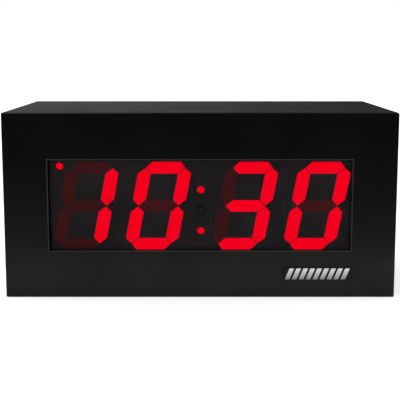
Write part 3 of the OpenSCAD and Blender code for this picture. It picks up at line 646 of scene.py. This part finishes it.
def make_button(node):
    """A turned cap with a dished face, a stop flange behind the cover, and a stem."""
    low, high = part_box(node)
    flange_out = COVER_IN - FLANGE_GAP
    points = [(0, low.y, 0), (STEM_R, low.y, 0.3 * MM), (STEM_R, flange_out - FLANGE_T, 0.3 * MM),
              (FLANGE_R, flange_out - FLANGE_T, 0.2 * MM), (FLANGE_R, flange_out, 0.2 * MM),
              (CAP_R, flange_out, 0.1 * MM), (CAP_R, high.y, 0.55 * MM), (CAP_R * 0.72, high.y, 0.25 * MM)]
    profile = rounded(points + [(0, high.y, 0)])[:-1]
    for step in range(DISH_STEPS + 1):
        share = 1 - step / DISH_STEPS
        profile.append(Vector((CAP_R * 0.66 * share, high.y - DISH * (1 - share ** 2) - DISH_EDGE)))
    bm = lathe(profile, 56)
    bmesh.ops.translate(bm, verts=bm.verts, vec=((low.x + high.x) / 2, 0, (low.z + high.z) / 2))
    add_piece(node + "_cap", bm, node, "button_grey", [node])


for button in BUTTONS:
    make_button(button)


# ------------------------------------------------------------------ coin cell

SEAL_T = 0.25 * MM
SEAL_STEP = 0.1 * MM
RING_GROOVE = 0.06 * MM
CAP_INSET = 1.2 * MM
CAP_HEIGHT = 0.6 * MM


def make_coin_cell():
    """Steel can with a groove round its top, a step for its seal, a smaller cap and a raised plus."""
    low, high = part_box("coin_cell")
    centre = (low + high) / 2
    half = (high.z - low.z) / 2
    can_r = (high.x - low.x) / 2
    cap_r = can_r - CAP_INSET
    step = -half + CAP_HEIGHT
    seal_r, seal_z = cap_r + SEAL_T, step + SEAL_STEP
    profile = rounded([
        (0, half, 0), (can_r - 1.3 * MM, half, 0), (can_r - 1.2 * MM, half - RING_GROOVE, 0),
        (can_r - 1.0 * MM, half - RING_GROOVE, 0), (can_r - 0.9 * MM, half, 0), (can_r, half, 0.35 * MM),
        (can_r, step, 0.3 * MM), (seal_r, step, 0.1 * MM), (seal_r, seal_z, 0), (cap_r, seal_z, 0),
        (cap_r, -half, 0.25 * MM), (0, -half, 0),
    ])
    bm = lathe(profile, 96)
    plus = to_mesh(prism(cross_outline(2.6 * MM, 0.35 * MM), half - 0.02 * MM, half + 0.04 * MM), "plus")
    bm.from_mesh(plus)
    upright = Matrix.Translation(centre) @ Matrix.Rotation(math.radians(90), 4, "X")
    bmesh.ops.transform(bm, matrix=upright, verts=bm.verts)
    add_piece("coin_cell_detailed", bm, "drawer", "cell_steel", ["coin_cell"])


# ------------------------------------------------------------------ printed signs and grip ribs

SIGN_R = 1.7 * MM
SIGN_RISE = 7.2 * MM  # from a button's middle to its sign's
PLUS_RISE = 3.5 * MM  # from the drawer's top to its plus
PRINT_T = 0.04 * MM


def polygon_points(count, radius, turn=90):
    """Corners of a regular polygon; the first one points to the given angle."""
    angles = [math.radians(turn + 360 * step / count) for step in range(count)]
    return [(radius * math.cos(a), radius * math.sin(a)) for a in angles]


def print_sign(outline, x, z):
    bm = prism(outline, -0.01 * MM, PRINT_T)
    bmesh.ops.translate(bm, verts=bm.verts, vec=(x, COVER_OUT, z))
    return to_mesh(bm, "sign")


def make_signs():
    """White ink beside the rear controls: dot, up, down, start, and a plus by the battery drawer."""
    ink = grained("ink_white", (0.62, 0.62, 0.6), 0.55, 0.25 * MM, 0.2, tone=0.2)
    outlines = [polygon_points(28, SIGN_R * 0.75), polygon_points(3, SIGN_R, 90),
                polygon_points(3, SIGN_R, 270), polygon_points(3, SIGN_R, 180)]
    signs = []
    for button, outline in zip(BUTTONS, outlines):
        low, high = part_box(button)
        centre = (low + high) / 2
        signs.append(print_sign(outline, centre.x, centre.z + SIGN_RISE))
    low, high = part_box("battery_tray")
    plus = cross_outline(SIGN_R, SIGN_R * 0.28)
    signs.append(print_sign(plus, (low.x + high.x) / 2, high.z + PLUS_RISE))
    bm = gather([(mesh, Matrix.Identity(4)) for mesh in signs])
    add_piece("rear_signs", bm, "timer", "nylon_white", material=ink)


make_signs()

RIB_COUNT = 5
RIB_PITCH = 1.7 * MM
RIB_SIZE = (0.8 * MM, 0.45 * MM, 3.2 * MM)  # width, height above the face, length
RIB_ROOT = 0.02 * MM  # how far a rib reaches into the face
RIB_MIDDLE_Z = 2.9 * MM
TRAY_FACE_PROUD = 1.55 * MM


def make_tray_ribs():
    """Rounded finger ribs moulded on the drawer's face, under its pull bar."""
    low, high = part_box("battery_tray")
    width, rise, length = RIB_SIZE
    centre = Vector(((low.x + high.x) / 2, COVER_OUT + TRAY_FACE_PROUD, low.z + RIB_MIDDLE_Z))
    outline = [(width / 2, -RIB_ROOT), (width * 0.38, rise * 0.75), (0, rise), (-width * 0.38, rise * 0.75),
               (-width / 2, -RIB_ROOT)]
    ribs = []
    for index in range(RIB_COUNT):
        bm = bmesh.new()
        ends = [[bm.verts.new((x, y, z)) for x, y in outline] for z in (-length / 2, length / 2)]
        bm.faces.new(ends[0])
        bm.faces.new(reversed(ends[1]))
        for step in range(len(outline)):
            after = (step + 1) % len(outline)
            bm.faces.new([ends[0][step], ends[0][after], ends[1][after], ends[1][step]])
        bmesh.ops.bevel(bm, geom=bm.edges[:], offset=0.05 * MM, segments=1, affect="EDGES")
        place = centre + Vector(((index - (RIB_COUNT - 1) / 2) * RIB_PITCH, 0, 0))
        ribs.append((to_mesh(bm, "rib"), Matrix.Translation(place)))
    add_piece("battery_tray_ribs", gather(ribs), "drawer", "tray_black")


make_tray_ribs()
make_coin_cell()


# ------------------------------------------------------------------ stage and light

FLOOR_REACH = 12
FLOOR_COLOR = (0.95, 0.95, 0.95)
FLOOR_GLOW = 0.3  # the floor's own light, which takes most of the contact shadow away
# Glows that reflections see: direction, cosine where it starts, and brightness at its middle
GLOWS = [
    ((-0.68, 0.73, 0.10), 0.46, 0.43),
    ((0.96, 0.05, 0.15), 0.45, 0.5),
    ((-0.96, 0.0, 0.15), 0.5, 0.3),
    ((0.1, 0.75, -0.66), 0.4, 0.45),
    ((0.0, 0.2, 1.0), 0.4, 0.12),
]
GLOW_TINT = (1, 1, 0.985, 1)
GLOSSY_DARK = 0.012  # what reflections see between the glows
EVEN_LIGHT = 1.0  # the world as diffuse rays see it
SUN_STRENGTH = 1.1
SUN_SPREAD = math.radians(40)
SUN_FROM = (-1.0, 0.14, 1.5)
STRIP_AWAY = 0.040  # from the low strip lamp to the front, whose lower part it lights
STRIP_HEIGHT = 0.002
STRIP_SIZE = (1.0, 0.012)
STRIP_POWER = 5.0


def make_floor():
    """A white, slightly glowing floor that reflections don't see."""
    reach = FLOOR_REACH
    mesh = bpy.data.meshes.new("floor")
    corners = [(-reach, -reach, 0), (reach, -reach, 0), (reach, reach, 0), (-reach, reach, 0)]
    mesh.from_pydata(corners, [], [(0, 1, 2, 3)])
    floor = bpy.data.objects.new("floor", mesh)
    bpy.context.scene.collection.objects.link(floor)
    set_material(floor, new_material(
        "floor_pale", FLOOR_COLOR, 0.9, Specular_IOR_Level=0.1,
        Emission_Color=(1, 1, 1, 1), Emission_Strength=FLOOR_GLOW,
    ))
    floor.visible_glossy = False


def sun_light(name, direction, strength):
    """Wide soft light from one direction, the same over the whole floor."""
    data = bpy.data.lights.new(name, "SUN")
    data.energy = strength
    data.angle = SUN_SPREAD
    light = bpy.data.objects.new(name, data)
    light.rotation_euler = Vector(direction).to_track_quat("Z", "Y").to_euler()
    bpy.context.scene.collection.objects.link(light)


def area_light(name, place, target, size, energy):
    """A soft rectangular lamp that points at a target and that neither camera nor reflections see."""
    data = bpy.data.lights.new(name, "AREA")
    data.shape = "RECTANGLE"
    data.size, data.size_y = size
    data.energy = energy
    light = bpy.data.objects.new(name, data)
    light.location = place
    light.rotation_euler = (Vector(target) - Vector(place)).to_track_quat("-Z", "Y").to_euler()
    light.visible_camera = False
    light.visible_glossy = False
    bpy.context.scene.collection.objects.link(light)
    return light


def make_world():
    """White to the camera and to diffuse light; reflections see a dark room with a few soft glows."""
    world = bpy.data.worlds.new("world")
    bpy.context.scene.world = world
    world.use_nodes = True
    nodes, links = world.node_tree.nodes, world.node_tree.links
    place = nodes.new("ShaderNodeTexCoord")
    total = None
    for direction, start, brightness in GLOWS:
        toward = nodes.new("ShaderNodeVectorMath")
        toward.operation = "DOT_PRODUCT"
        toward.inputs[1].default_value = Vector(direction).normalized()
        links.new(place.outputs["Generated"], toward.inputs[0])
        glow = nodes.new("ShaderNodeMapRange")
        glow.interpolation_type = "SMOOTHSTEP"
        glow.inputs["From Min"].default_value = start
        glow.inputs["To Max"].default_value = brightness
        links.new(toward.outputs["Value"], glow.inputs["Value"])
        added = nodes.new("ShaderNodeMath")
        added.operation = "ADD"
        added.inputs[1].default_value = GLOSSY_DARK
        links.new(glow.outputs["Result"], added.inputs[0])
        if total:
            links.new(total, added.inputs[1])
        total = added.outputs[0]
    reflected = nodes["Background"]
    reflected.inputs["Color"].default_value = GLOW_TINT
    links.new(total, reflected.inputs["Strength"])
    even = nodes.new("ShaderNodeBackground")
    even.inputs["Strength"].default_value = EVEN_LIGHT
    seen = nodes.new("ShaderNodeBackground")
    for background in (even, seen):
        background.inputs["Color"].default_value = (1, 1, 1, 1)
    path = nodes.new("ShaderNodeLightPath")
    first = nodes.new("ShaderNodeMixShader")
    links.new(path.outputs["Is Diffuse Ray"], first.inputs[0])
    links.new(reflected.outputs[0], first.inputs[1])
    links.new(even.outputs[0], first.inputs[2])
    second = nodes.new("ShaderNodeMixShader")
    links.new(path.outputs["Is Camera Ray"], second.inputs[0])
    links.new(first.outputs[0], second.inputs[1])
    links.new(seen.outputs[0], second.inputs[2])
    links.new(second.outputs[0], nodes["World Output"].inputs["Surface"])


def light_scene():
    """The floor, the world, a soft sun, and a low strip lamp that lights the front case only."""
    make_floor()
    make_world()
    sun_light("key", SUN_FROM, SUN_STRENGTH)
    low = Vector((0, FRONT_Y - STRIP_AWAY, STRIP_HEIGHT))
    strip = area_light("low_strip", low, low + Vector((0, 1, 1)), STRIP_SIZE, STRIP_POWER)
    lit_only = bpy.data.collections.new("lit_by_strip")
    lit_only.objects.link(NODES["front_case"])
    strip.light_linking.receiver_collection = lit_only
    scene = bpy.context.scene
    scene.view_settings.view_transform = "Standard"
    scene.view_settings.look = "None"


light_scene()
